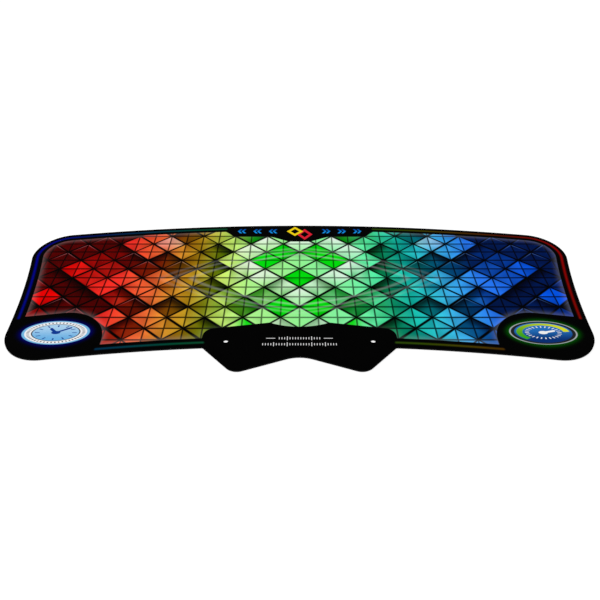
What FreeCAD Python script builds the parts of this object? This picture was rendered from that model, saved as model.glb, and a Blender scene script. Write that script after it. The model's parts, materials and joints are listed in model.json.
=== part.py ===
"""Cup-stacking and speed-cube mat: a die-cut laminate of cloth, film, sponge rubber and a grip sheet.

The mat lies flat. +X runs along it, +Y points away from the player and +Z is up.
Each layer has the same plan outline, because all four are bonded as sheets and then cut with one die.
The outline is first drawn with the line through the two peg holes at Y = 0, and then moved so that the
origin is at the middle of the finished mat's bounding box, on the surface that the mat lies on.
"""

import FreeCAD
import Part

import math
import os

# Driving dimensions, in millimetres.

# Layers, from the table upwards
GRIP_SHEET_THICKNESS = 0.5
SPONGE_THICKNESS = 1.5
FILM_THICKNESS = 0.1
CLOTH_THICKNESS = 0.4

# Far edge: one large arc with its crown on the centre line
BACK_EDGE_AHEAD_OF_PEGS = 238.1
BACK_EDGE_RADIUS = 2030.0
BACK_HALF_WIDTH = 363.9

# Near edge: a flatter arc that curves the same way
FRONT_EDGE_BEHIND_PEGS = 6.7
FRONT_EDGE_RADIUS = 1817.0
FRONT_HALF_WIDTH = 327.4

# Ends: slanting arcs that are slightly hollow
SIDE_EDGE_RADIUS = 948.0

# Peg holes, where a timer's two pegs pass through the mat
PEG_HOLE_SPACING = 163.4
PEG_HOLE_DIAMETER = 5.5

# Timer tab, which reaches past the near edge around the peg holes
TAB_ROOT_OUTSIDE_PEGS = 24.7
TAB_TIP_INSIDE_PEGS = 11.3
TAB_TIP_BEHIND_PEGS = 48.1
TAB_MIDDLE_BEHIND_PEGS = 21.5

# Corner radii of the die
BACK_CORNER_RADIUS = 47.0
FRONT_CORNER_RADIUS = 45.0
TAB_ROOT_RADIUS = 2.0
TAB_TIP_RADIUS = 16.0
TAB_MIDDLE_RADIUS = 41.0

# Rounding that the die leaves on the outer rims
CLOTH_RIM_RADIUS = 0.25
GRIP_RIM_RADIUS = 0.2

# Places nearer to each other than this count as the same
SAME_PLACE = 0.01


def on_arc(x, crown_y, radius):
    """The point at x on an arc whose crown is on the centre line at crown_y and whose centre lies nearer."""
    return FreeCAD.Vector(x, crown_y - radius + math.sqrt(radius**2 - x**2), 0)


def arc_between(start, end, radius, inward):
    """The flat arc of that radius from start to end, bowed towards the direction inward."""
    middle = (start + end) * 0.5
    half_chord = (end - start).Length / 2
    rise = radius - math.sqrt(radius**2 - half_chord**2)
    across = FreeCAD.Vector(0, 0, 1).cross(end - start).normalize()
    if across.dot(inward) < 0:
        across = across * -1
    return Part.Arc(start, middle + across * rise, end).toShape()


def mirrored(point):
    """The same point on the other side of the centre line."""
    return FreeCAD.Vector(-point.x, point.y, point.z)


def sharp_corners():
    """The corners of the right-hand half, before rounding, and the corner at the tab's middle."""
    peg_x = PEG_HOLE_SPACING / 2
    return {
        "back": on_arc(BACK_HALF_WIDTH, BACK_EDGE_AHEAD_OF_PEGS, BACK_EDGE_RADIUS),
        "front": on_arc(FRONT_HALF_WIDTH, -FRONT_EDGE_BEHIND_PEGS, FRONT_EDGE_RADIUS),
        "tab_root": on_arc(peg_x + TAB_ROOT_OUTSIDE_PEGS, -FRONT_EDGE_BEHIND_PEGS, FRONT_EDGE_RADIUS),
        "tab_tip": FreeCAD.Vector(peg_x - TAB_TIP_INSIDE_PEGS, -TAB_TIP_BEHIND_PEGS, 0),
        "tab_middle": FreeCAD.Vector(0, -TAB_MIDDLE_BEHIND_PEGS, 0),
    }


def sharp_outline(corners):
    """The closed outline with sharp corners, anticlockwise from the far right corner."""
    right, left = corners, {name: mirrored(point) for name, point in corners.items()}
    crown = FreeCAD.Vector(0, BACK_EDGE_AHEAD_OF_PEGS, 0)
    towards_left, towards_right = FreeCAD.Vector(-1, 0, 0), FreeCAD.Vector(1, 0, 0)
    away = FreeCAD.Vector(0, 1, 0)
    edges = [
        Part.Arc(right["back"], crown, left["back"]).toShape(),
        arc_between(left["back"], left["front"], SIDE_EDGE_RADIUS, towards_right),
        arc_between(left["front"], left["tab_root"], FRONT_EDGE_RADIUS, away),
        Part.makeLine(left["tab_root"], left["tab_tip"]),
        Part.makeLine(left["tab_tip"], left["tab_middle"]),
        Part.makeLine(right["tab_middle"], right["tab_tip"]),
        Part.makeLine(right["tab_tip"], right["tab_root"]),
        arc_between(right["tab_root"], right["front"], FRONT_EDGE_RADIUS, away),
        arc_between(right["front"], right["back"], SIDE_EDGE_RADIUS, towards_left),
    ]
    return Part.Wire(edges)


def upright_edges(solid, places):
    """The solid's upright edges that stand on those points."""
    found = []
    for edge in solid.Edges:
        foot, top = edge.Vertexes[0].Point, edge.Vertexes[-1].Point
        if math.hypot(foot.x - top.x, foot.y - top.y) > SAME_PLACE:
            continue
        if any(math.hypot(foot.x - p.x, foot.y - p.y) < SAME_PLACE for p in places):
            found.append(edge)
    return found


def die_cut_face():
    """The finished outline with its rounded corners and peg holes, as a face centred on the origin."""
    corners = sharp_corners()
    plate = Part.Face(sharp_outline(corners)).extrude(FreeCAD.Vector(0, 0, 1))
    radii = {
        "back": BACK_CORNER_RADIUS,
        "front": FRONT_CORNER_RADIUS,
        "tab_root": TAB_ROOT_RADIUS,
        "tab_tip": TAB_TIP_RADIUS,
        "tab_middle": TAB_MIDDLE_RADIUS,
    }
    for name, radius in radii.items():
        places = [corners[name], mirrored(corners[name])]
        plate = plate.makeFillet(radius, upright_edges(plate, places))
    for side in (-1, 1):
        centre = FreeCAD.Vector(side * PEG_HOLE_SPACING / 2, 0, 0)
        plate = plate.cut(Part.makeCylinder(PEG_HOLE_DIAMETER / 2, 1, centre))
    underside = min(plate.Faces, key=lambda face: face.normalAt(0, 0).z)
    return underside.translated(FreeCAD.Vector(0, -underside.BoundBox.Center.y, 0))


def outer_rim(solid, z):
    """The edges of the outline at height z, without those of the peg holes."""
    level = [e for e in solid.Edges if abs(e.BoundBox.ZMin - z) + abs(e.BoundBox.ZMax - z) < SAME_PLACE]
    return [e for e in level if not e.isClosed()]


def layer(face, bottom, thickness):
    """One sheet of the laminate, from height bottom upwards."""
    return face.translated(FreeCAD.Vector(0, 0, bottom)).extrude(FreeCAD.Vector(0, 0, thickness))


def grip_sheet(face, bottom):
    """Solid rubber that grips the table, with its lower rim rounded."""
    sheet = layer(face, bottom, GRIP_SHEET_THICKNESS)
    return sheet.makeFillet(GRIP_RIM_RADIUS, outer_rim(sheet, bottom))


def sponge_core(face, bottom):
    """Closed-cell sponge rubber that gives the mat its cushion."""
    return layer(face, bottom, SPONGE_THICKNESS)


def adhesive_film(face, bottom):
    """Hot-melt film that bonds the cloth to the sponge."""
    return layer(face, bottom, FILM_THICKNESS)


def printed_cloth(face, bottom):
    """Knitted polyester that carries the print, with its upper rim rounded."""
    sheet = layer(face, bottom, CLOTH_THICKNESS)
    return sheet.makeFillet(CLOTH_RIM_RADIUS, outer_rim(sheet, bottom + CLOTH_THICKNESS))


def build():
    """Every node's solid, by name."""
    face = die_cut_face()
    sponge_bottom = GRIP_SHEET_THICKNESS
    film_bottom = sponge_bottom + SPONGE_THICKNESS
    cloth_bottom = film_bottom + FILM_THICKNESS
    return {
        "grip_sheet": grip_sheet(face, 0),
        "sponge_core": sponge_core(face, sponge_bottom),
        "adhesive_film": adhesive_film(face, film_bottom),
        "printed_cloth": printed_cloth(face, cloth_bottom),
    }


def description(shape):
    """What whoever builds the part may want to know of a solid: its count, state, volume and corners."""
    box = shape.BoundBox
    corners = (box.XMin, box.YMin, box.ZMin), (box.XMax, box.YMax, box.ZMax)
    low, high = [tuple(round(value, 2) for value in corner) for corner in corners]
    return f"solids {len(shape.Solids)} valid {shape.isValid()} volume {round(shape.Volume)} {low} {high}"


def main():
    os.makedirs("parts", exist_ok=True)
    for name, shape in build().items():
        shape.exportStep(f"parts/{name}.step")
        print(name, description(shape))


main()
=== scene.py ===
"""Looks of the die-cut cup-stacking and speed-cube mat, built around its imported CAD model.

Lengths are in metres and in the CAD frame: +X along the mat, +Y away from the player, +Z up, with the
origin at the middle of the mat on the table. Points in plan are complex numbers, x + y * 1j.
"""

import colorsys
import json
import math

import bpy
import numpy as np
from mathutils import Euler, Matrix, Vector
from mathutils.geometry import delaunay_2d_cdt

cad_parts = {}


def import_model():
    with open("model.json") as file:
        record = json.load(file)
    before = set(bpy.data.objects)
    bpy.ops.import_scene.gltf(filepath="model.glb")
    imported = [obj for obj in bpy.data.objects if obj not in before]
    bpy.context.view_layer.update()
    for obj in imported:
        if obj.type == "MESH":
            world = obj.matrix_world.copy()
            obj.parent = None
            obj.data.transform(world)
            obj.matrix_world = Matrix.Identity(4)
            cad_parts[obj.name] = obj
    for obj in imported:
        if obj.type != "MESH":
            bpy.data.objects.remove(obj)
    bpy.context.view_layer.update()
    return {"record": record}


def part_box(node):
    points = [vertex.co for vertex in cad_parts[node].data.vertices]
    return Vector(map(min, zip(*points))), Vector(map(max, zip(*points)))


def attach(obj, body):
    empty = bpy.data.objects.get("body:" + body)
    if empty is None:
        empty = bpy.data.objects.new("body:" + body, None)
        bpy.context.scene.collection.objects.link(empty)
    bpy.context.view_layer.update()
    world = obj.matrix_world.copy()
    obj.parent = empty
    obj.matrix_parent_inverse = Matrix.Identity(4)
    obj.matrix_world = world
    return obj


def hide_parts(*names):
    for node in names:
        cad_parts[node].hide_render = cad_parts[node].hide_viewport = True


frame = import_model()

MM = 0.001

# The die's outline, as the CAD has it. Places along Y are counted from the line through the peg holes.
BACK_EDGE = 238.1 * MM
BACK_EDGE_RADIUS = 2030.0 * MM
BACK_HALF_WIDTH = 363.9 * MM
FRONT_EDGE = -6.7 * MM
FRONT_EDGE_RADIUS = 1817.0 * MM
FRONT_HALF_WIDTH = 327.4 * MM
SIDE_EDGE_RADIUS = 948.0 * MM
TAB_ROOT_OUTSIDE_PEGS = 24.7 * MM
TAB_TIP_INSIDE_PEGS = 11.3 * MM
TAB_TIP = -48.1 * MM
TAB_MIDDLE = -21.5 * MM
BACK_CORNER_RADIUS = 47.0 * MM
FRONT_CORNER_RADIUS = 45.0 * MM
TAB_ROOT_RADIUS = 2.0 * MM
TAB_TIP_RADIUS = 16.0 * MM
TAB_MIDDLE_RADIUS = 41.0 * MM

# A straight edge is an arc too, of so long a radius that it bows by under a thousandth of a millimetre
STRAIGHT = 1000.0

# Mesh
OUTLINE_STEP = 2.0 * MM
SMALL_TURN = math.radians(9)
PRINT_STEP = 2.5 * MM
PLAIN_STEP = 20.0 * MM
PEG_HOLE_SIDES = 48
RIM_STEPS = 4
CLOTH_RIM_RADIUS = 0.25 * MM
CORE_PINCH = 0.16 * MM
GRIP_RIM_RADIUS = 0.2 * MM

# How upright a face's normal is, at the least, where the face belongs to one of a sheet's two sides
LEVEL = 0.5

# How far a face's inner points keep from its edges, as a share of their step
KEPT_OFF = 0.55

# How far down the core's cut edge its rings of points are
CORE_RINGS = (0.15, 0.35, 0.65, 0.85)

# Settings of Blender's triangulation
TRIANGLES_INSIDE = 1
SAME_PLACE = 1e-7

# The grip side's raised diamonds, on ground that lies deeper than the land along the edges
PAD_WIDTH = 10.0 * MM
PAD_HEIGHT = 8.7 * MM
PAD_FOOT_SHARE = 0.82
PAD_TOP_SHARE = 0.74
GRIP_DEPTH = 0.25 * MM
GRIP_LAND = 4.0 * MM
GRIP_SLOPE = 0.3 * MM
PAD_CLEARANCE = 0.5 * MM

# The bake map, in shares of its height: two bands for the halves of the side that shows, one over the
# other, and under them thin strips for the hidden side and for the edges
BAND_LOW = 0.06
BAND_HEIGHT = 0.46
BAND_PITCH = 0.475
HIDDEN_LOW = 0.035
HIDDEN_HEIGHT = 0.015
EDGE_LOW = 0.005
EDGE_HEIGHT = 0.02

# Cloth
WALE_WIDTH = 0.8 * MM
COURSE_HEIGHT = 0.65 * MM
KNIT_DEPTH = 0.06 * MM
YARN_BUMPS = 900

# Film and rubber: how many bumps or pores to the metre, and how deep they are
FILM_BUMPS = 250
SPONGE_PORES = 2600
PORE_DEPTH = 0.12 * MM
GRIP_GRAINS = 1800
GRAIN_DEPTH = 0.03 * MM

# The printed border
BORDER_WIDTH = 14.0 * MM
GLOW_INSET = 7.0 * MM
GLOW_REACH = 3.4 * MM

# Where the glowing line stops, and the place along Y that parts its far run from its two near ones
GLOW_FAR_END = 103 * MM
GLOW_SIDE_END = -58.5 * MM
GLOW_NEAR_ENDS = (107 * MM, 222 * MM)
GLOW_PARTING = -70.5 * MM

# The black shapes of the print, in millimetres: corners with their rounding radii, on the right-hand side
BADGE_LOBE = [(221, -40.6, 48), (217, -220, 0.5), (430, -220, 0.5), (430, -73.0, 0.5)]
BANNER = [(110, 220, 2), (109, 133.5, 2), (91, 113.1, 6), (40, 113.1, 20), (15, 101.0, 20)]
TAB_ZONE = [(112.5, -160, 0.5), (108, -77.4, 13), (34.5, -66.0, 5)]
TAB_ZONE_DIP = (0, -82.0, 87)

# The play field's diamonds, the gaps between them, the cuts in them and the line inside some of their rims
CELL_WIDTH = 44 * MM
CELL_HEIGHT = 38 * MM
CELL_SPAN = CELL_WIDTH * CELL_HEIGHT / math.hypot(CELL_WIDTH, CELL_HEIGHT)
GAP_HALF_WIDTH = 1.1 * MM
GAP_SPREAD = 0.8 * MM
LEVEL_CUT_HALF_WIDTH = 1.25 * MM
UPRIGHT_CUT_HALF_WIDTH = 0.95 * MM
RIM_LINE_INSET = 2 * MM
RIM_LINE_HALF_WIDTH = 0.4 * MM

# Where the haze and a badge's halo end, and where they would be full
HAZE_REACH = (13 * MM, -3 * MM)
HALO_REACH = (16 * MM, -3 * MM)

# The long faint diamonds over the field, as (half height, strength). Their corners would be sharp at a
# roundness of 1.
FAINT_MIDDLE = 18 * MM
FAINT_STRETCH = 2.6
FAINT_ROUNDNESS = 1.3
FAINT_DIAMONDS = [(52 * MM, 1.0), (61 * MM, 0.7), (67 * MM, 0.45)]

# Seeds of what chance decides for each diamond, or for each of its facets or sides
BRIGHT_SEED = 149
PALE_SEED = 224
LEAF_SEED = 23
RIM_SEED = 8
HEIGHT_SEED = 61
TONE_SEED = 11
SIDEWAYS_SEED = 31
UPWARDS_SEED = 51
RISING_GAP_SEED = 41
FALLING_GAP_SEED = 43

# The oval badges
BADGE_PLACE = 274 * MM - 83j * MM
BADGE_HALF_LENGTH = 38 * MM
BADGE_HALF_HEIGHT = 19.5 * MM
DIAL_SOFTNESS = 0.0125

# The banner's chevrons, each of two strokes
CHEVRON_PITCH = 21.7 * MM
FIRST_CHEVRON = 37 * MM
CHEVRON_ROW = 127 * MM
CHEVRONS_EACH_SIDE = 3
CHEVRON_HALF_HEIGHT = 5.2 * MM
CHEVRON_SLANT = 0.7
CHEVRON_STROKES = (4.7 * MM, -0.7 * MM)
CHEVRON_HALF_WIDTH = 1.4 * MM

# The tab's rows of ticks, as (place, how far it reaches to both sides), and the dashes beside the upper row
TICK_PITCH = 3 * MM
UPPER_TICKS = (-92.4 * MM, 24 * MM)
LOWER_TICKS = (-102 * MM, 42 * MM)
DASH_MIDDLE = 32 * MM
DASH_HALF_LENGTH = 5 * MM
TICK_HALF_WIDTH = 0.4 * MM

# Studio
FLOOR_HALF_SIZE = 6.0
FLOOR_SHADE = 0.32
FLOOR_GLOW = 0.77
WORLD_LIGHT = 0.72
KEY_PLACE = (-0.8, 0.6, 1.8)
KEY_SIZE = 1.6
KEY_WATTS = 14
CAMERA_PLACE = (0.00055, -0.5719, 0.4495)
CAMERA_PITCH = math.radians(39.27)
CAMERA_LENS = 35.30


# ---------------------------------------------------------------- plan geometry


def arc_centre(start, end, radius, turn):
    """The centre of the arc from start to end that turns left (turn 1) or right (turn -1)."""
    half = (end - start) / 2
    return start + half + turn * 1j * half / abs(half) * math.sqrt(radius**2 - abs(half) ** 2)


def crossing(centre_a, radius_a, centre_b, radius_b, near):
    """Where two circles cross, on the side nearer to a point."""
    gap = centre_b - centre_a
    along = (abs(gap) ** 2 + radius_a**2 - radius_b**2) / (2 * abs(gap))
    aside = math.sqrt(radius_a**2 - along**2)
    found = [centre_a + gap / abs(gap) * (along + side * 1j * aside) for side in (1, -1)]
    return min(found, key=lambda point: abs(point - near))


def on_circle(centre, radius, towards):
    """The point of a circle that lies towards another point."""
    return centre + (towards - centre) / abs(towards - centre) * radius


def arc_points(start, end, radius, turn, step):
    """Points along an arc, with its start and without its end."""
    centre = arc_centre(start, end, radius, turn)
    angle = np.angle((end - centre) / (start - centre))
    count = max(1, math.ceil(abs(angle) / SMALL_TURN), math.ceil(abs(angle) * radius / step))
    return centre + (start - centre) * np.exp(1j * angle * np.arange(count) / count)


def rounded_loop(corners, edges, step):
    """A closed loop. Each corner is (place, rounding radius), each edge that leaves it (radius, turn)."""
    count = len(corners)
    centres = [arc_centre(corners[i][0], corners[(i + 1) % count][0], *edges[i]) for i in range(count)]
    starts, ends, turns = [], [], []
    for i, (corner, rounding) in enumerate(corners):
        (radius_in, turn_in), (radius_out, turn_out) = edges[i - 1], edges[i]
        heading_in = (corner - centres[i - 1]) * turn_in
        heading_out = (corner - centres[i]) * turn_out
        turn = 1 if (heading_out / heading_in).imag > 0 else -1
        middle = crossing(
            centres[i - 1], radius_in - turn_in * turn * rounding,
            centres[i], radius_out - turn_out * turn * rounding, corner,
        )
        starts.append(on_circle(centres[i - 1], radius_in, middle))
        ends.append(on_circle(centres[i], radius_out, middle))
        turns.append(turn)
    pieces = []
    for i in range(count):
        pieces.append(arc_points(starts[i], ends[i], corners[i][1], turns[i], step))
        pieces.append(arc_points(ends[i], starts[(i + 1) % count], *edges[i], step))
    return np.concatenate(pieces)


def rounded_polygon(corners, step):
    """A closed loop of straight edges. Each corner is (x, y, rounding radius) in millimetres."""
    places = [(complex(x, y) * MM, rounding * MM) for x, y, rounding in corners]
    return rounded_loop(places, [(STRAIGHT, 1)] * len(places), step)


def on_crown_arc(x, crown, radius):
    """The point at x on an arc whose crown is on the centre line and whose centre lies nearer."""
    return complex(x, crown - radius + math.sqrt(radius**2 - x**2))


def mirror(point):
    """The same point on the other side of the centre line."""
    return -point.conjugate()


def mat_outline(peg, step):
    """The die's outline, anticlockwise. peg is the place of the right-hand peg hole."""
    line = peg.imag
    back = on_crown_arc(BACK_HALF_WIDTH, line + BACK_EDGE, BACK_EDGE_RADIUS)
    front = on_crown_arc(FRONT_HALF_WIDTH, line + FRONT_EDGE, FRONT_EDGE_RADIUS)
    root = on_crown_arc(peg.real + TAB_ROOT_OUTSIDE_PEGS, line + FRONT_EDGE, FRONT_EDGE_RADIUS)
    tip = complex(peg.real - TAB_TIP_INSIDE_PEGS, line + TAB_TIP)
    middle = complex(0, line + TAB_MIDDLE)
    corners = [
        (back, BACK_CORNER_RADIUS),
        (mirror(back), BACK_CORNER_RADIUS),
        (mirror(front), FRONT_CORNER_RADIUS),
        (mirror(root), TAB_ROOT_RADIUS),
        (mirror(tip), TAB_TIP_RADIUS),
        (middle, TAB_MIDDLE_RADIUS),
        (tip, TAB_TIP_RADIUS),
        (root, TAB_ROOT_RADIUS),
        (front, FRONT_CORNER_RADIUS),
    ]
    side, near_edge, straight = (SIDE_EDGE_RADIUS, -1), (FRONT_EDGE_RADIUS, -1), (STRAIGHT, 1)
    edges = [(BACK_EDGE_RADIUS, 1), side, near_edge] + [straight] * 4 + [near_edge, side]
    return rounded_loop(corners, edges, step)


def distance(points, loop):
    """How far each point is from a closed loop's line."""
    nearest = np.full(len(points), np.inf)
    for start, end in zip(loop, np.roll(loop, -1)):
        along = end - start
        share = ((points - start) * np.conj(along)).real / abs(along) ** 2
        nearest = np.minimum(nearest, abs(points - start - np.clip(share, 0, 1) * along))
    return nearest


def inside(points, loop):
    """Whether each point is inside a closed loop."""
    odd = np.zeros(len(points), bool)
    for start, end in zip(loop, np.roll(loop, -1)):
        spans = (start.imag > points.imag) != (end.imag > points.imag)
        if not spans.any():
            continue
        share = (points.imag - start.imag) / (end.imag - start.imag)
        odd ^= spans & (points.real < start.real + share * (end.real - start.real))
    return odd


def outside_distance(points, loop):
    """How far each point is outside a closed loop, and negative inside it."""
    return np.where(inside(points, loop), -1, 1) * distance(points, loop)


def kept_between(points, loops):
    """Whether each point is inside the outline, the first loop, and outside the holes, the others."""
    kept = inside(points, loops[0])
    for hole in loops[1:]:
        kept &= ~inside(points, hole)
    return kept


def hole_loop(centre, radius):
    """A hole's edge, clockwise."""
    turns = np.arange(PEG_HOLE_SIDES) / PEG_HOLE_SIDES
    return centre + radius * np.exp(-2j * math.pi * turns)


def outward(loop):
    """Unit vectors that point out of an anticlockwise loop, or into a clockwise hole's opening."""
    along = np.roll(loop, -1) - np.roll(loop, 1)
    return -1j * along / abs(along)


def drawn_in(loops, inset):
    """The loops moved into the material by inset."""
    return [loop - outward(loop) * inset for loop in loops]


# ---------------------------------------------------------------- meshes


def triangular_grid(low, high, step):
    """Points of a triangular grid over a box in plan."""
    row = step * math.sqrt(3) / 2
    ys = np.arange(low.imag, high.imag, row)
    xs = np.arange(low.real, high.real, step)
    return np.concatenate([xs + step / 2 * (i % 2) + 1j * y for i, y in enumerate(ys)])


def spread_points(loops, step):
    """Points of a triangular grid that fill the space between the loops and keep off their lines."""
    outline = loops[0]
    low = complex(outline.real.min(), outline.imag.min())
    high = complex(outline.real.max(), outline.imag.max())
    grid = triangular_grid(low, high, step)
    for loop in loops:
        grid = grid[distance(grid, loop) > step * KEPT_OFF]
    return grid[kept_between(grid, loops)]


def closed_edges(loops):
    """The edges of several closed loops whose points are counted on from one to the next."""
    edges, first = [], 0
    for loop in loops:
        edges += [(first + i, first + (i + 1) % len(loop)) for i in range(len(loop))]
        first += len(loop)
    return edges


def filled_plan(loops, creases=(), between=()):
    """A triangulation between the loops, as points and faces. Its edges follow the loops and the creases,
    which are more closed loops, and its points are theirs, in that order, and then those between."""
    points = np.concatenate([*loops, *creases, between])
    flat = [Vector((p.real, p.imag)) for p in points]
    edges = closed_edges([*loops, *creases])
    made = delaunay_2d_cdt(flat, edges, [], TRIANGLES_INSIDE, SAME_PLACE)
    places = np.array([complex(*v) for v in made[0]])
    middles = np.array([places[list(face)].mean() for face in made[2]])
    kept = kept_between(middles, loops)
    faces = [list(face) for face, keep in zip(made[2], kept) if keep]
    return places, faces


def level_face(loops, height, step):
    """A level face between the loops: its points, their heights and its faces."""
    places, faces = filled_plan(loops, between=spread_points(loops, step))
    return places, np.full(len(places), height), faces


def diamond(centre, share):
    """A diamond's corners, anticlockwise, as a share of the space that a raised diamond has."""
    return centre + share / 2 * np.array([PAD_WIDTH, 1j * PAD_HEIGHT, -PAD_WIDTH, -1j * PAD_HEIGHT])


def pad_centres(land):
    """The middles of the raised diamonds that fit within the land's inner edges."""
    count = math.ceil(abs(land[0]).max() / min(PAD_WIDTH, PAD_HEIGHT) * 2)
    i, j = np.mgrid[-count:count, -count:count]
    centres = ((i + j) * PAD_WIDTH / 2 + 1j * (i - j) * PAD_HEIGHT / 2).ravel()
    centres = centres[kept_between(centres, land)]
    for corner in diamond(0, PAD_FOOT_SHARE):
        centres = centres[kept_between(centres + corner, land)]
        for loop in land:
            centres = centres[distance(centres + corner, loop) > PAD_CLEARANCE]
    return centres


def grip_face(loops, low):
    """The grip side: a level land along the edges, and raised diamonds that stand as low as it."""
    land = drawn_in(loops, GRIP_LAND)
    ground = drawn_in(loops, GRIP_LAND + GRIP_SLOPE)
    centres = pad_centres(ground)
    feet = [diamond(centre, PAD_FOOT_SHARE) for centre in centres]
    tops = [diamond(centre, PAD_TOP_SHARE) for centre in centres]
    places, faces = filled_plan(loops, [*land, *tops, *ground, *feet])
    heights = np.full(len(places), low)
    heights[sum(len(loop) for loop in [*loops, *land, *tops]):] += GRIP_DEPTH
    return places, heights, faces


def sheet_piece(name, loops, upper, rings, lower):
    """A closed sheet from its upper and lower face, with rings between their edges, each (inset, height)."""
    layers = [upper]
    for inset, height in rings:
        places = np.concatenate(drawn_in(loops, inset))
        layers.append((places, np.full(len(places), height), []))
    layers.append(lower)
    verts, firsts = [], []
    for places, heights, _ in layers:
        firsts.append(len(verts))
        verts += zip(places.real, places.imag, heights)
    faces = list(upper[2])
    faces += [[firsts[-1] + i for i in reversed(face)] for face in lower[2]]
    for above, below in zip(firsts, firsts[1:]):
        faces += [[above + b, above + a, below + a, below + b] for a, b in closed_edges(loops)]
    mesh = bpy.data.meshes.new(name)
    mesh.from_pydata(verts, [], faces)
    mesh.validate()
    piece = bpy.data.objects.new(name, mesh)
    bpy.context.scene.collection.objects.link(piece)
    return piece


def quarter_round(radius):
    """The profile of a rounded rim, without its start on the face: (inset, fall from the face)."""
    turns = np.linspace(0, math.pi / 2, RIM_STEPS)[1:]
    return [(radius * (1 - math.sin(turn)), radius * (1 - math.cos(turn))) for turn in turns]


def mesh_numbers(items, name, width=1, kind=float):
    """One property of all of a mesh's items, as an array."""
    found = np.empty(len(items) * width, kind)
    items.foreach_get(name, found)
    return found.reshape(-1, width) if width > 1 else found


def turn_shares(at, middle):
    """How far round the mat each place is, from 0 to 1, on its own face's side of the seam."""
    face_turn = np.angle(middle[:, 0] + 1j * middle[:, 1])
    further = np.angle((at[:, 0] + 1j * at[:, 1]) * np.exp(-1j * face_turn))
    return np.clip((face_turn + further) / (2 * math.pi) + 0.5, 0, 1)


def add_bake_map(piece, side):
    """A map to bake looks through, laid out for a piece whose upper (1) or lower (-1) side shows."""
    mesh = piece.data
    vertex = mesh_numbers(mesh.loops, "vertex_index", kind=int)
    face = np.repeat(np.arange(len(mesh.polygons)), mesh_numbers(mesh.polygons, "loop_total", kind=int))
    at = mesh_numbers(mesh.vertices, "co", 3)[vertex]
    middle = mesh_numbers(mesh.polygons, "center", 3)[face]
    facing = mesh_numbers(mesh.polygons, "normal", 3)[face, 2] * side
    low, high = at.min(0), at.max(0)
    share = (at - low) / (high - low)
    half_length, spare = high[0], 2 * PRINT_STEP
    right = middle[:, 0] > 0
    u = (at[:, 0] + np.where(right, 0, half_length) + spare) / (half_length + 2 * spare)
    v = BAND_LOW + share[:, 1] * BAND_HEIGHT + np.where(right, 0, BAND_PITCH)
    hidden = facing < -LEVEL
    u[hidden] = share[hidden, 0]
    v[hidden] = HIDDEN_LOW + share[hidden, 1] * HIDDEN_HEIGHT
    edge = abs(facing) <= LEVEL
    u[edge] = turn_shares(at, middle)[edge]
    v[edge] = EDGE_LOW + share[edge, 2] * EDGE_HEIGHT
    layer = mesh.uv_layers.new(name="OFBake")
    layer.data.foreach_set("uv", np.stack([u, v], 1).ravel())


# ---------------------------------------------------------------- numbers and colours worked out by nodes


class Value:
    """A number or colour that a material works out at each point of a surface, with the usual operators."""

    def __init__(self, tree, socket):
        self.tree = tree
        self.socket = socket

    def math(self, operation, *others):
        """What a Math node makes of this number and others."""
        node = self.tree.nodes.new("ShaderNodeMath")
        node.operation = operation
        for slot, value in zip(node.inputs, (self, *others)):
            feed(self.tree, slot, value)
        return Value(self.tree, node.outputs[0])

    def __add__(self, other):
        return self.math("ADD", other)

    def __sub__(self, other):
        return self.math("SUBTRACT", other)

    def __mul__(self, other):
        return self.math("MULTIPLY", other)

    def __truediv__(self, other):
        return self.math("DIVIDE", other)

    def __rsub__(self, other):
        return (self * -1) + other

    def __pow__(self, other):
        return self.math("POWER", other)

    def __abs__(self):
        return self.math("ABSOLUTE")

    __radd__ = __add__
    __rmul__ = __mul__

    def whole(self):
        """The next whole number below."""
        return self.math("FLOOR")

    def fraction(self):
        """What is left above that whole number."""
        return self.math("FRACT")

    def least(self, other):
        """The smaller of two numbers."""
        return self.math("MINIMUM", other)

    def most(self, other):
        """The larger of two numbers."""
        return self.math("MAXIMUM", other)

    def above(self, other):
        """1 where this number is the larger one, and otherwise 0."""
        return self.math("GREATER_THAN", other)

    def rise(self, low, high):
        """0 up to low and 1 from high on, with a smooth rise between. It falls if low is past high."""
        node = self.tree.nodes.new("ShaderNodeMapRange")
        node.interpolation_type = "SMOOTHSTEP"
        feed(self.tree, node.inputs["Value"], self)
        feed(self.tree, node.inputs["From Min"], low)
        feed(self.tree, node.inputs["From Max"], high)
        return Value(self.tree, node.outputs["Result"])


def feed(tree, slot, value):
    """Sets a node's input to a number, a colour or what another node gives."""
    if isinstance(value, Value):
        tree.links.new(value.socket, slot)
    else:
        slot.default_value = value


def either(*masks):
    """The strongest of several masks."""
    found = masks[0]
    for mask in masks[1:]:
        found = found.most(mask)
    return found


def both(*masks):
    """Where all of several masks hold."""
    found = masks[0]
    for mask in masks[1:]:
        found = found * mask
    return found


def length(x, y):
    """How long the line is that reaches x along and y across."""
    return (x * x + y * y).math("SQRT")


def stroke(away, half_width, soft=0.3 * MM):
    """A mask for a line with soft edges, from the distance to its middle."""
    return away.rise(half_width + soft, half_width - soft)


def place(tree):
    """X, Y and Z in the CAD frame, in metres."""
    coordinates = tree.nodes.new("ShaderNodeTexCoord")
    split = tree.nodes.new("ShaderNodeSeparateXYZ")
    tree.links.new(coordinates.outputs["Object"], split.inputs[0])
    return [Value(tree, split.outputs[axis]) for axis in "XYZ"]


def vector(tree, x, y, z):
    """Three numbers as one vector."""
    node = tree.nodes.new("ShaderNodeCombineXYZ")
    for slot, value in zip(node.inputs, (x, y, z)):
        feed(tree, slot, value)
    return Value(tree, node.outputs[0])


def stored(tree, name):
    """A number that the mesh holds at its vertices."""
    node = tree.nodes.new("ShaderNodeAttribute")
    node.attribute_name = name
    return Value(tree, node.outputs["Fac"])


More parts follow.
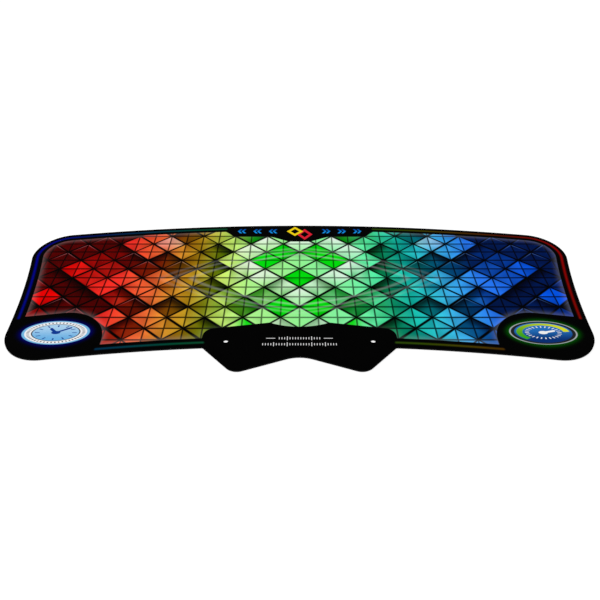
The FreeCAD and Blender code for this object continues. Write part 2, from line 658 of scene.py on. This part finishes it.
def chance(tree, i, j, seed):
    """A number from 0 to 1, the same all over cell i, j."""
    node = tree.nodes.new("ShaderNodeTexWhiteNoise")
    node.noise_dimensions = "3D"
    feed(tree, node.inputs["Vector"], vector(tree, i, j, seed))
    return Value(tree, node.outputs["Value"])


def noise(tree, where, scale):
    """Smooth noise from 0 to 1, with scale bumps to the metre."""
    node = tree.nodes.new("ShaderNodeTexNoise")
    feed(tree, node.inputs["Vector"], where)
    node.inputs["Scale"].default_value = scale
    return Value(tree, node.outputs["Fac"])


def pores(tree, where, scale):
    """How far each point is from the middle of the nearest of scattered cells, scale cells to the metre."""
    node = tree.nodes.new("ShaderNodeTexVoronoi")
    feed(tree, node.inputs["Vector"], where)
    node.inputs["Scale"].default_value = scale
    return Value(tree, node.outputs["Distance"])


def mixed(tree, below, above, mask):
    """The colour above laid over the one below as far as the mask says."""
    node = tree.nodes.new("ShaderNodeMix")
    node.data_type = "RGBA"
    factor, colour_a, colour_b, colour_out = node.inputs[0], node.inputs[6], node.inputs[7], node.outputs[2]
    feed(tree, factor, mask)
    feed(tree, colour_a, below)
    feed(tree, colour_b, above)
    return Value(tree, colour_out)


def ramp(tree, value, stops):
    """A colour that changes with value, by stops of (value, colour) in rising order."""
    first, last = stops[0][0], stops[-1][0]
    node = tree.nodes.new("ShaderNodeValToRGB")
    feed(tree, node.inputs[0], (value - first) / (last - first))
    elements = node.color_ramp.elements
    while len(elements) < len(stops):
        elements.new(0.5)
    for element, (at, colour) in zip(elements, stops):
        element.position = (at - first) / (last - first)
        element.color = colour
    return Value(tree, node.outputs["Color"])


def channels(tree, colour):
    """The three numbers of a colour."""
    node = tree.nodes.new("ShaderNodeSeparateColor")
    feed(tree, node.inputs[0], colour)
    return [Value(tree, output) for output in node.outputs]


def srgb(red, green, blue):
    """A colour as it shows on a screen, each channel from 0 to 255, as a shader's colour."""
    shares = [channel / 255 for channel in (red, green, blue)]
    return (*[s / 12.92 if s <= 0.04045 else ((s + 0.055) / 1.055) ** 2.4 for s in shares], 1.0)


def bright(degrees, saturation):
    """The brightest colour of a hue."""
    return srgb(*[channel * 255 for channel in colorsys.hsv_to_rgb(degrees / 360, saturation, 1)])


def new_material(name, roughness, specular):
    """A material with one Principled shader, its node tree and the shader."""
    material = bpy.data.materials.new(name)
    material.use_nodes = True
    shader = material.node_tree.nodes["Principled BSDF"]
    shader.inputs["Roughness"].default_value = roughness
    shader.inputs["Specular IOR Level"].default_value = specular
    return material, material.node_tree, shader


def bump(tree, shader, height, depth):
    """Gives a shader small relief, depth metres deep where height goes from 0 to 1."""
    node = tree.nodes.new("ShaderNodeBump")
    node.inputs["Distance"].default_value = depth
    feed(tree, node.inputs["Height"], height)
    tree.links.new(node.outputs["Normal"], shader.inputs["Normal"])


# ---------------------------------------------------------------- the print: its play field

BLACK = srgb(0, 0, 0)
WHITE = srgb(255, 255, 255)
LEAF_GREEN = srgb(0, 228, 12)
RIM_LIGHT = srgb(190, 240, 255)
FAINT_MARK = srgb(225, 228, 230)
# A darker yarn tone, and painted shade for the knit's valleys
YARN_TONE_AND_VALLEY_SHADE = srgb(10, 10, 11)

# Hues along the mat, left to right, as (place, degrees on the colour wheel, saturation of the lit facets)
RAINBOW = [
    (-300 * MM, 0, 1.00),
    (-225 * MM, 3, 0.84),
    (-180 * MM, 17, 0.78),
    (-135 * MM, 44, 0.80),
    (-100 * MM, 74, 0.56),
    (-60 * MM, 101, 0.43),
    (0 * MM, 120, 0.40),
    (60 * MM, 138, 0.48),
    (100 * MM, 153, 0.68),
    (135 * MM, 174, 0.84),
    (180 * MM, 199, 0.74),
    (225 * MM, 216, 0.83),
    (300 * MM, 218, 1.00),
]

# Along the mat from its middle: how bright the dark cells are, how bright the others, and how many of these
BRIGHTNESS = [
    (0 * MM, (0.90, 1.00, 0.96, 1)),
    (45 * MM, (0.56, 1.00, 0.74, 1)),
    (75 * MM, (0.58, 0.98, 0.78, 1)),
    (110 * MM, (0.48, 0.80, 0.68, 1)),
    (140 * MM, (0.30, 0.70, 0.52, 1)),
    (170 * MM, (0.50, 0.84, 0.68, 1)),
    (215 * MM, (0.36, 0.96, 0.68, 1)),
    (260 * MM, (0.28, 0.92, 0.38, 1)),
    (300 * MM, (0.32, 0.92, 0.46, 1)),
    (340 * MM, (0.28, 0.80, 0.36, 1)),
]


def rainbow(tree, x, full=False):
    """The hue along the mat, as saturated as its lit facets are, or fully."""
    return ramp(tree, x, [(at, bright(degrees, 1.0 if full else share)) for at, degrees, share in RAINBOW])


def cell_level(tree, i, j):
    """How bright the cell i, j of the diamond grid shows, from nearly dark to full."""
    x = (i + j + 1) * (CELL_WIDTH / 2)
    y = (i - j) * (CELL_HEIGHT / 2)
    dark, full, share = channels(tree, ramp(tree, x, BRIGHTNESS))
    far_corner = both(x.rise(200 * MM, 260 * MM), y.rise(20 * MM, 60 * MM))
    luck = chance(tree, i, j, BRIGHT_SEED) + share - far_corner * 0.35
    return dark + luck.rise(0.8, 1.2) * (full - dark)


class Cell:
    """Where a point lies in the field's grid of diamonds, whose halves mirror each other.

    a and b count the cells along its rising and falling rows, i and j are their whole numbers, and p and q
    say how far across its cell the point is, each from -0.5 to 0.5. right and up say the same from corner
    to corner, each from -1 to 1. level says how bright the cell shows.
    """

    def __init__(self, tree, x, y):
        self.tree = tree
        self.across = abs(x)
        self.a = self.across / CELL_WIDTH + y / CELL_HEIGHT
        self.b = self.across / CELL_WIDTH - y / CELL_HEIGHT
        self.i, self.j = self.a.whole(), self.b.whole()
        self.p, self.q = self.a.fraction() - 0.5, self.b.fraction() - 0.5
        self.right, self.up = self.p + self.q, self.p - self.q
        self.level = cell_level(tree, self.i, self.j)

    def luck(self, seed):
        """A number from 0 to 1, the same all over the cell."""
        return chance(self.tree, self.i, self.j, seed)


def neighbour_shadow(cell, aside_i, aside_j, near):
    """How far the cell at aside_i, aside_j from this one darkens it where it stands higher: from 0 away
    from it to 1 where they meet. near runs from -0.5 to 0.5 towards it."""
    i, j = cell.i + aside_i, cell.j + aside_j
    brighter = cell_level(cell.tree, i, j) - cell.level
    higher = brighter + (chance(cell.tree, i, j, HEIGHT_SEED) - cell.luck(HEIGHT_SEED)) * 0.3
    return both(higher.rise(0.15, 0.45), near.rise(-0.1, 0.5))


def facet_tone(cell):
    """How one facet of the cell takes the light: a tone of its own, with a soft change across it."""
    facet = cell.right.above(0) + cell.up.above(0) * 2
    own = cell.luck(facet + TONE_SEED)
    sideways = (cell.luck(facet + SIDEWAYS_SEED) - 0.5) * (abs(cell.right) - 0.3)
    upwards = (cell.luck(facet + UPWARDS_SEED) - 0.5) * (abs(cell.up) - 0.3)
    return own * 0.22 + 0.91 + (sideways + upwards) * 0.5


def paleness(cell):
    """How far the cell turns white. Some do, mostly near the middle of the mat, and most at their tops."""
    scarce = cell.across.rise(50 * MM, 130 * MM) * 0.42
    chosen = both(cell.luck(PALE_SEED) - scarce, cell.across.rise(270 * MM, 200 * MM)).rise(0.3, 0.55)
    strength = cell.across.rise(190 * MM, 110 * MM) * 0.3 + 0.3
    return both(chosen, cell.up.rise(-1.3, 0.8), cell.level.rise(0.6, 0.85), strength)


def lit_rim(cell):
    """A mask for a fine line of light inside the two upper sides of most dark cells."""
    outermost = abs(cell.p).most(abs(cell.q))
    upper_sides = both(cell.p.most(cell.q * -1).above(outermost - 0.001), cell.up.rise(0, 0.8))
    chosen = both(cell.level.rise(0.5, 0.4), cell.luck(RIM_SEED).above(0.3))
    line = stroke(abs((0.5 - outermost) * CELL_SPAN - RIM_LINE_INSET), RIM_LINE_HALF_WIDTH)
    return both(chosen, upper_sides, line)


def gaps(cell):
    """A mask for the black gaps between the cells, each side of a cell with a width of its own."""
    lines = []
    for count, across, other, seed in (
        (cell.a, cell.p, cell.j, RISING_GAP_SEED),
        (cell.b, cell.q, cell.i, FALLING_GAP_SEED),
    ):
        luck = chance(cell.tree, (count + 0.5).whole(), other, seed)
        half_width = luck * GAP_SPREAD + GAP_HALF_WIDTH
        lines.append(stroke((0.5 - abs(across)) * CELL_SPAN, half_width, 0.7 * MM))
    return either(*lines)


def cuts(cell):
    """A mask for the fine lines that cut the cell into four facets, fainter near the middle of the mat."""
    level = stroke(abs(cell.up) * (CELL_HEIGHT / 2), LEVEL_CUT_HALF_WIDTH, 0.7 * MM)
    upright = stroke(abs(cell.right) * (CELL_WIDTH / 2), UPRIGHT_CUT_HALF_WIDTH, 0.6 * MM)
    return either(level, upright) * (cell.across.rise(10 * MM, 110 * MM) * 0.17 + 0.77)


def facet_field(tree, x, y):
    """A field of diamonds, each cut into four facets, from red through green to blue."""
    cell = Cell(tree, x, y)
    shadow = either(neighbour_shadow(cell, 1, 0, cell.p), neighbour_shadow(cell, 0, -1, cell.q * -1))
    tone = cell.level * facet_tone(cell) * (1 - shadow * 0.65)
    light = tone ** 2.2
    leafy = both(cell.luck(LEAF_SEED).above(0.72), cell.across.rise(80 * MM, 60 * MM))
    hue = mixed(tree, rainbow(tree, x, full=True), rainbow(tree, x), tone.rise(0.4, 0.95))
    hue = mixed(tree, hue, LEAF_GREEN, leafy)
    paint = mixed(tree, BLACK, hue, light)
    paint = mixed(tree, paint, WHITE, both(paleness(cell), 1 - leafy, light))
    paint = mixed(tree, paint, mixed(tree, hue, RIM_LIGHT, 0.25), lit_rim(cell) * 0.42)
    return mixed(tree, paint, BLACK, either(gaps(cell), cuts(cell)))


def faint_marks(tree, paint, x, y):
    """Lays three long faint diamonds with rounded corners over the field, one inside the other."""
    across, high = abs(x) / FAINT_STRETCH, abs(y - FAINT_MIDDLE)
    away = (across ** FAINT_ROUNDNESS + high ** FAINT_ROUNDNESS) ** (1 / FAINT_ROUNDNESS)
    lines = [
        stroke(abs(away - half_height), 1.4 * MM, 1.5 * MM) * strength
        for half_height, strength in FAINT_DIAMONDS
    ]
    strongest_near_middle = abs(x).rise(140 * MM, 30 * MM) * 0.13 + 0.12
    return mixed(tree, paint, FAINT_MARK, either(*lines) * strongest_near_middle)


def haze(tree, paint, x, field):
    """Lays a thin haze over the field where it meets the black around it. field is how far that is."""
    strength = both(field.rise(*HAZE_REACH) ** 2.5, abs(x).rise(100 * MM, 130 * MM) * 0.8 + 0.2)
    return mixed(tree, paint, mixed(tree, WHITE, rainbow(tree, x), 0.35), strength * 0.125)


# ---------------------------------------------------------------- the print: what lies on the black

# Colours along the mat of the thin glowing line in the border
GLOW = [
    (-345 * MM, srgb(0, 0, 142)),
    (-282 * MM, srgb(0, 22, 92)),
    (-199 * MM, srgb(0, 58, 78)),
    (-136 * MM, srgb(0, 78, 51)),
    (136 * MM, srgb(50, 76, 0)),
    (199 * MM, srgb(80, 60, 0)),
    (282 * MM, srgb(86, 20, 0)),
    (345 * MM, srgb(148, 0, 0)),
]

# Two linked diamonds in the banner's middle: place, half width, half height and colour
LINKED_DIAMONDS = [
    (7 * MM + 119j * MM, 11.0 * MM, 13.7 * MM, srgb(222, 32, 52)),
    (-6.5 * MM + 126.6j * MM, 11.6 * MM, 11.8 * MM, srgb(246, 214, 20)),
]


def glow_line(tree, paint, x, inset, run):
    """Draws the thin glowing line along the middle of the border. inset is the distance to the mat's edge,
    and run the distance to the line's end, negative past it."""
    away = length(inset - GLOW_INSET, run.least(0))
    return mixed(tree, paint, ramp(tree, x, GLOW), away.rise(GLOW_REACH, 0) ** 2)


class Dial:
    """Where a point lies on an oval badge: out is 1 at its rim, turn runs from 0 to 1 clockwise from the
    bottom, right and up are shares of its half length and half height, and past is how far it is past the
    rim, in metres."""

    def __init__(self, x, y, centre):
        self.right = (x - centre.real) / BADGE_HALF_LENGTH
        self.up = (y - centre.imag) / BADGE_HALF_HEIGHT
        self.out = length(self.right, self.up)
        self.turn = self.right.math("ARCTAN2", self.up) / (2 * math.pi) + 0.5
        self.past = length(x - centre.real, y - centre.imag) * (1 - self.out ** -1)

    def halo(self):
        """A mask for the soft glow round the badge."""
        return self.past.rise(*HALO_REACH) ** 5

    def disc(self, radius):
        """A mask for all within a radius."""
        return stroke(self.out, radius, DIAL_SOFTNESS)

    def ticks(self, count, low, high, share):
        """A mask for count ticks from low to high, each share of its space wide to either side."""
        beside = abs((self.turn * count).fraction() - 0.5)
        wide = beside.rise(0.5 - share, 0.5 - share * 0.6)
        return both(wide, 1 - self.disc(low), self.disc(high))

    def hand(self, degrees, reach, half_width):
        """A mask for a hand from the middle outwards, at an angle from the top, clockwise."""
        sine, cosine = math.sin(math.radians(degrees)), math.cos(math.radians(degrees))
        along = self.right * (sine * BADGE_HALF_LENGTH) + self.up * (cosine * BADGE_HALF_HEIGHT)
        aside = self.right * (cosine * BADGE_HALF_LENGTH) - self.up * (sine * BADGE_HALF_HEIGHT)
        past_end = (along * -1).most(along - reach).most(0)
        return stroke(length(aside, past_end), half_width, 0.25 * MM)


def left_dial(tree, paint, x, y):
    """A pale oval dial with a blue glow."""
    dial = Dial(x, y, mirror(BADGE_PLACE))
    navy, ink = srgb(16, 60, 150), srgb(24, 28, 44)
    face = mixed(tree, srgb(112, 184, 236), srgb(176, 216, 246), dial.up.rise(-0.6, 0.6))
    hands = either(dial.hand(62, 17 * MM, 1.2 * MM), dial.hand(-48, 9 * MM, 1.7 * MM), dial.disc(0.135))
    for colour, mask in (
        (srgb(0, 0, 120), dial.halo()),
        (srgb(120, 190, 234), dial.disc(1.0)),
        (srgb(250, 251, 253), dial.disc(0.92)),
        (ink, dial.ticks(48, 0.78, 0.87, 0.24)),
        (ink, dial.disc(0.725)),
        (face, dial.disc(0.69)),
        (navy, dial.ticks(12, 0.48, 0.62, 0.10)),
        (navy, hands),
    ):
        paint = mixed(tree, paint, colour, mask)
    return paint


def right_dial(tree, paint, x, y):
    """A blue oval dial with a yellow-green sweep and a green glow."""
    dial = Dial(x, y, BADGE_PLACE)
    face = mixed(tree, srgb(10, 50, 120), srgb(40, 120, 200), dial.up.rise(-0.7, 0.5))
    sweep_colour = mixed(tree, srgb(60, 170, 30), srgb(226, 232, 40), dial.turn.rise(0.15, 0.72))
    sweep_length = both(dial.turn.rise(0.12, 0.13), dial.turn.rise(0.74, 0.73))
    for colour, mask in (
        (srgb(0, 100, 0), dial.halo()),
        (srgb(176, 182, 186), dial.disc(1.0)),
        (srgb(34, 36, 38), dial.disc(0.955)),
        (face, dial.disc(0.85)),
        (sweep_colour, both(1 - dial.disc(0.61), dial.disc(0.79), sweep_length)),
        (WHITE, dial.ticks(24, 0.42, 0.54, 0.18)),
        (WHITE, either(dial.hand(78, 13 * MM, 1.3 * MM), dial.disc(0.135))),
    ):
        paint = mixed(tree, paint, colour, mask)
    return paint


def banner_marks(tree, paint, x, y):
    """Draws a row of blue double chevrons with two linked diamonds, yellow and red, in its middle."""
    steps = (abs(x) - FIRST_CHEVRON) / CHEVRON_PITCH + 0.5
    beside = (steps.fraction() - 0.5) * CHEVRON_PITCH
    high = abs(y - CHEVRON_ROW)
    slant = beside + high * CHEVRON_SLANT
    strokes = either(*(stroke(abs(slant - at), CHEVRON_HALF_WIDTH) for at in CHEVRON_STROKES))
    row = both(steps.above(0), 1 - steps.above(CHEVRONS_EACH_SIDE))
    chevrons = both(strokes, stroke(high, CHEVRON_HALF_HEIGHT), row)
    shine = y.rise(CHEVRON_ROW + 5 * MM, CHEVRON_ROW - 5 * MM)
    paint = mixed(tree, paint, mixed(tree, srgb(0, 78, 170), srgb(26, 158, 245), shine), chevrons)
    for centre, half_width, half_height, colour in LINKED_DIAMONDS:
        away = abs(x - centre.real) / half_width + abs(y - centre.imag) / half_height
        paint = mixed(tree, paint, colour, stroke(abs(away - 0.76), 0.23, 0.03))
    return paint


def tab_marks(tree, paint, x, y):
    """Draws two rows of fine white ticks, every fifth taller, and a dash at each end of the upper row."""
    across = abs(x)
    count = across / TICK_PITCH
    tick = stroke(abs(count.fraction() - 0.5) * TICK_PITCH, TICK_HALF_WIDTH, 0.25 * MM)
    taller = ((count / 5).fraction() - 0.5).above(0.3) * (1.4 * MM)
    rows = [
        both(tick, stroke(abs(y - row) - taller, 1.6 * MM), stroke(across, reach, 0.1 * MM))
        for row, reach in (UPPER_TICKS, LOWER_TICKS)
    ]
    dash_length = stroke(abs(across - DASH_MIDDLE), DASH_HALF_LENGTH)
    dash = both(stroke(abs(y - UPPER_TICKS[0]), TICK_HALF_WIDTH), dash_length)
    return mixed(tree, paint, WHITE, either(*rows, dash) * 0.85)


# ---------------------------------------------------------------- materials


def knit(x, y):
    """The relief of a fine knit: columns of V-shaped loops, from 0 to 1."""
    lean = abs((x / WALE_WIDTH).fraction() - 0.5)
    legs = (lean * (2 * math.pi)).math("SINE")
    loops_along = ((y / COURSE_HEIGHT + lean) * (2 * math.pi)).math("COSINE")
    return legs * (loops_along * 0.3 + 0.7)


def printed_material():
    """Dye-printed knit: the whole artwork, and the fine loops of the cloth, with painted shade in their
    valleys.
    """
    material, tree, shader = new_material("printed_knit", 0.9, 0.012)
    x, y, z = place(tree)
    inset, clear, run = (stored(tree, name) for name in ("inset", "clear", "run"))
    field = (inset - BORDER_WIDTH).least(clear)
    paint = facet_field(tree, x, y)
    paint = faint_marks(tree, paint, x, y)
    paint = haze(tree, paint, x, field)
    paint = mixed(tree, BLACK, paint, field.rise(-0.25 * MM, 0.25 * MM))
    paint = glow_line(tree, paint, x, inset, run)
    paint = left_dial(tree, paint, x, y)
    paint = right_dial(tree, paint, x, y)
    paint = banner_marks(tree, paint, x, y)
    paint = tab_marks(tree, paint, x, y)
    yarn = noise(tree, vector(tree, x, y, z), YARN_BUMPS)
    loops = knit(x, y)
    # Darker where the yarn's noise is high, a tone of its own, and painted shade in the knit's valleys,
    # where its loops lie low
    paint = mixed(tree, paint, YARN_TONE_AND_VALLEY_SHADE, yarn.rise(0.35, 0.8) * 0.07 + loops.rise(0.6, 0) * 0.12)
    feed(tree, shader.inputs["Base Color"], paint)
    feed(tree, shader.inputs["Roughness"], yarn * 0.16 + 0.8)
    bump(tree, shader, loops * 0.7 + yarn * 0.3, KNIT_DEPTH)
    return material


def knit_back_material():
    """The cloth's undyed back."""
    material, tree, shader = new_material("knit_back", 0.9, 0.1)
    x, y, z = place(tree)
    yarn = noise(tree, vector(tree, x, y, z), YARN_BUMPS)
    feed(tree, shader.inputs["Base Color"], mixed(tree, srgb(196, 196, 194), srgb(222, 222, 220), yarn))
    bump(tree, shader, knit(x, y), KNIT_DEPTH)
    return material


def film_material():
    """Thin dark bonding film, slightly uneven."""
    material, tree, shader = new_material("bond_film", 0.4, 0.3)
    flow = noise(tree, vector(tree, *place(tree)), FILM_BUMPS)
    feed(tree, shader.inputs["Base Color"], mixed(tree, srgb(12, 12, 13), srgb(26, 26, 28), flow))
    feed(tree, shader.inputs["Roughness"], flow * 0.2 + 0.3)
    return material


def sponge_material():
    """Black closed-cell rubber, with fine pores where it was cut, painted darker in their hollows as shade.
    """
    material, tree, shader = new_material("sponge_rubber", 0.9, 0.15)
    where = vector(tree, *place(tree))
    cells = pores(tree, where, SPONGE_PORES).rise(0.15, 0.6)
    # Painted shade: each pore is darker towards its hollow middle
    feed(tree, shader.inputs["Base Color"], mixed(tree, srgb(6, 6, 7), srgb(24, 24, 25), cells))
    feed(tree, shader.inputs["Roughness"], noise(tree, where, 60) * 0.1 + 0.85)
    bump(tree, shader, cells, PORE_DEPTH)
    return material


def grip_material():
    """Black rubber with a fine matt skin. What touches the table is paler and a little smoother: wear on the
    raised tops, and painted shade on the deeper ground between them.
    """
    material, tree, shader = new_material("grip_rubber", 0.7, 0.15)
    x, y, z = place(tree)
    where = vector(tree, x, y, z)
    # Paler on the raised tops, partly as wear, and darker on the deeper ground as painted shade
    worn_tops_and_groove_shade = both(z.rise(0.12 * MM, 0.02 * MM), noise(tree, where, 25) * 0.5 + 0.6)
    grain = noise(tree, where, GRIP_GRAINS)
    feed(tree, shader.inputs["Base Color"], mixed(tree, srgb(15, 15, 16), srgb(52, 52, 54), worn_tops_and_groove_shade))
    feed(tree, shader.inputs["Roughness"], grain * 0.1 - worn_tops_and_groove_shade * 0.2 + 0.75)
    bump(tree, shader, grain, GRAIN_DEPTH)
    return material


# ---------------------------------------------------------------- the pieces


def mirrored_corners(corners):
    """The same corners on the left-hand side, in the order that keeps the loop's turn."""
    return [(-x, y, rounding) for x, y, rounding in reversed(corners)]


def black_shapes():
    """The outlines of the black shapes inside the border."""
    shapes = [
        BADGE_LOBE,
        mirrored_corners(BADGE_LOBE),
        BANNER + mirrored_corners(BANNER),
        TAB_ZONE + [TAB_ZONE_DIP] + mirrored_corners(TAB_ZONE),
    ]
    return [rounded_polygon(shape, 1 * MM) for shape in shapes]


def store(piece, name, values):
    """Keeps a number for each vertex of the piece, for its material."""
    piece.data.attributes.new(name, "FLOAT", "POINT").data.foreach_set("value", values)


def store_print_places(piece, outline):
    """Keeps where each vertex lies in the print: how far in from the die's edge, how far out of the
    black shapes and how far from the ends of the glowing line."""
    flat = mesh_numbers(piece.data.vertices, "co", 3) @ (1, 1j, 0)
    across = abs(flat.real)
    far_run = np.minimum(across - GLOW_FAR_END, flat.imag - GLOW_SIDE_END)
    near_run = np.minimum(across - GLOW_NEAR_ENDS[0], GLOW_NEAR_ENDS[1] - across)
    store(piece, "inset", distance(flat, outline))
    store(piece, "clear", np.min([outside_distance(flat, shape) for shape in black_shapes()], axis=0))
    store(piece, "run", np.where(flat.imag > GLOW_PARTING, far_run, near_run))


def join_frame(piece, node):
    """Puts a piece in the place of a CAD node, on the one rigid body."""
    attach(piece, "root")
    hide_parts(node)


def printed_cloth(loops, outline):
    """The printed cloth, with its cut edge rolled down a little."""
    low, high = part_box("printed_cloth")
    upper = level_face(drawn_in(loops, CLOTH_RIM_RADIUS), high.z, PRINT_STEP)
    rings = [(inset, high.z - fall) for inset, fall in quarter_round(CLOTH_RIM_RADIUS)]
    lower = level_face(loops, low.z, PLAIN_STEP)
    piece = sheet_piece("printed_cloth_knit", loops, upper, rings, lower)
    store_print_places(piece, outline)
    add_bake_map(piece, 1)
    piece.data.materials.append(printed_material())
    piece.data.materials.append(knit_back_material())
    underside = mesh_numbers(piece.data.polygons, "normal", 3)[:, 2] < -LEVEL
    piece.data.polygons.foreach_set("material_index", underside.astype(int))
    join_frame(piece, "printed_cloth")


def adhesive_film():
    """The CAD's own film, in a better material."""
    material = film_material()
    for material_slot in bpy.data.objects["adhesive_film"].material_slots:
        material_slot.material = material


def sponge_core(loops):
    """The sponge rubber core, whose cut edge is pinched a little between its faces."""
    low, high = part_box("sponge_core")
    rings = [
        (CORE_PINCH * math.sin(share * math.pi), high.z + (low.z - high.z) * share) for share in CORE_RINGS
    ]
    upper = level_face(loops, high.z, PLAIN_STEP)
    lower = level_face(loops, low.z, PLAIN_STEP)
    piece = sheet_piece("sponge_core_rubber", loops, upper, rings, lower)
    piece.data.materials.append(sponge_material())
    join_frame(piece, "sponge_core")


def grip_sheet(loops):
    """The rubber grip sheet, with raised diamonds on its underside."""
    low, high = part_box("grip_sheet")
    upper = level_face(loops, high.z, PLAIN_STEP)
    rings = [(inset, low.z + rise) for inset, rise in reversed(quarter_round(GRIP_RIM_RADIUS))]
    lower = grip_face(drawn_in(loops, GRIP_RIM_RADIUS), low.z)
    piece = sheet_piece("grip_sheet_rubber", loops, upper, rings, lower)
    add_bake_map(piece, -1)
    piece.data.materials.append(grip_material())
    join_frame(piece, "grip_sheet")


def mat():
    """All pieces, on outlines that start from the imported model's peg hole."""
    mount = next(m for m in frame["record"]["mounts"] if m["name"] == "peg_hole_right")
    peg = complex(*mount["pos_m"][:2])
    radius = mount["dims"]["r_mm"] * MM
    outline = mat_outline(peg, OUTLINE_STEP)
    loops = [outline, hole_loop(peg, radius), hole_loop(mirror(peg), radius)]
    printed_cloth(loops, outline)
    adhesive_film()
    sponge_core(loops)
    grip_sheet(loops)


# ---------------------------------------------------------------- floor, light and camera


def light_path(tree, output):
    """What kind of ray a surface is seen by, as 0 or 1."""
    node = tree.nodes.new("ShaderNodeLightPath")
    return Value(tree, node.outputs[output])


def floor_material():
    """Pale floor that shows white to the camera and keeps a soft shadow."""
    material, tree, shader = new_material("studio_floor", 1.0, 0.0)
    shader.inputs["Base Color"].default_value = (FLOOR_SHADE, FLOOR_SHADE, FLOOR_SHADE, 1)
    shader.inputs["Emission Color"].default_value = WHITE
    feed(tree, shader.inputs["Emission Strength"], light_path(tree, "Is Camera Ray") * FLOOR_GLOW)
    return material


def floor():
    """The floor that the mat lies on."""
    mesh = bpy.data.meshes.new("studio_floor")
    size = FLOOR_HALF_SIZE
    corners = [(-size, -size, 0), (size, -size, 0), (size, size, 0), (-size, size, 0)]
    mesh.from_pydata(corners, [], [(0, 1, 2, 3)])
    mesh.materials.append(floor_material())
    piece = bpy.data.objects.new("studio_floor", mesh)
    bpy.context.scene.collection.objects.link(piece)


def world():
    """Even light from all round, which shows white where it is seen."""
    studio = bpy.data.worlds.new("studio")
    studio.use_nodes = True
    tree = studio.node_tree
    background = tree.nodes["Background"]
    background.inputs["Color"].default_value = WHITE
    seen = either(*(light_path(tree, f"Is {kind} Ray") for kind in ("Camera", "Glossy", "Transmission")))
    feed(tree, background.inputs["Strength"], seen * (1 - WORLD_LIGHT) + WORLD_LIGHT)
    bpy.context.scene.world = studio


def key_lamp():
    """One large soft lamp, above and to the left, turned to the mat."""
    data = bpy.data.lights.new("key", "AREA")
    data.size = KEY_SIZE
    data.energy = KEY_WATTS
    piece = bpy.data.objects.new("key", data)
    piece.location = KEY_PLACE
    piece.rotation_euler = (-piece.location).to_track_quat("-Z", "Y").to_euler()
    bpy.context.scene.collection.objects.link(piece)


def camera():
    """The photograph's point of view."""
    data = bpy.data.cameras.new("photo_view")
    data.sensor_width = 36.0
    data.lens = CAMERA_LENS
    data.clip_start = 0.01
    piece = bpy.data.objects.new("photo_view", data)
    piece.location = CAMERA_PLACE
    piece.rotation_euler = Euler((math.pi / 2 - CAMERA_PITCH, 0, 0))
    bpy.context.scene.collection.objects.link(piece)
    bpy.context.scene.camera = piece


mat()
floor()
world()
key_lamp()
camera()
bpy.context.scene.view_settings.view_transform = "Standard"
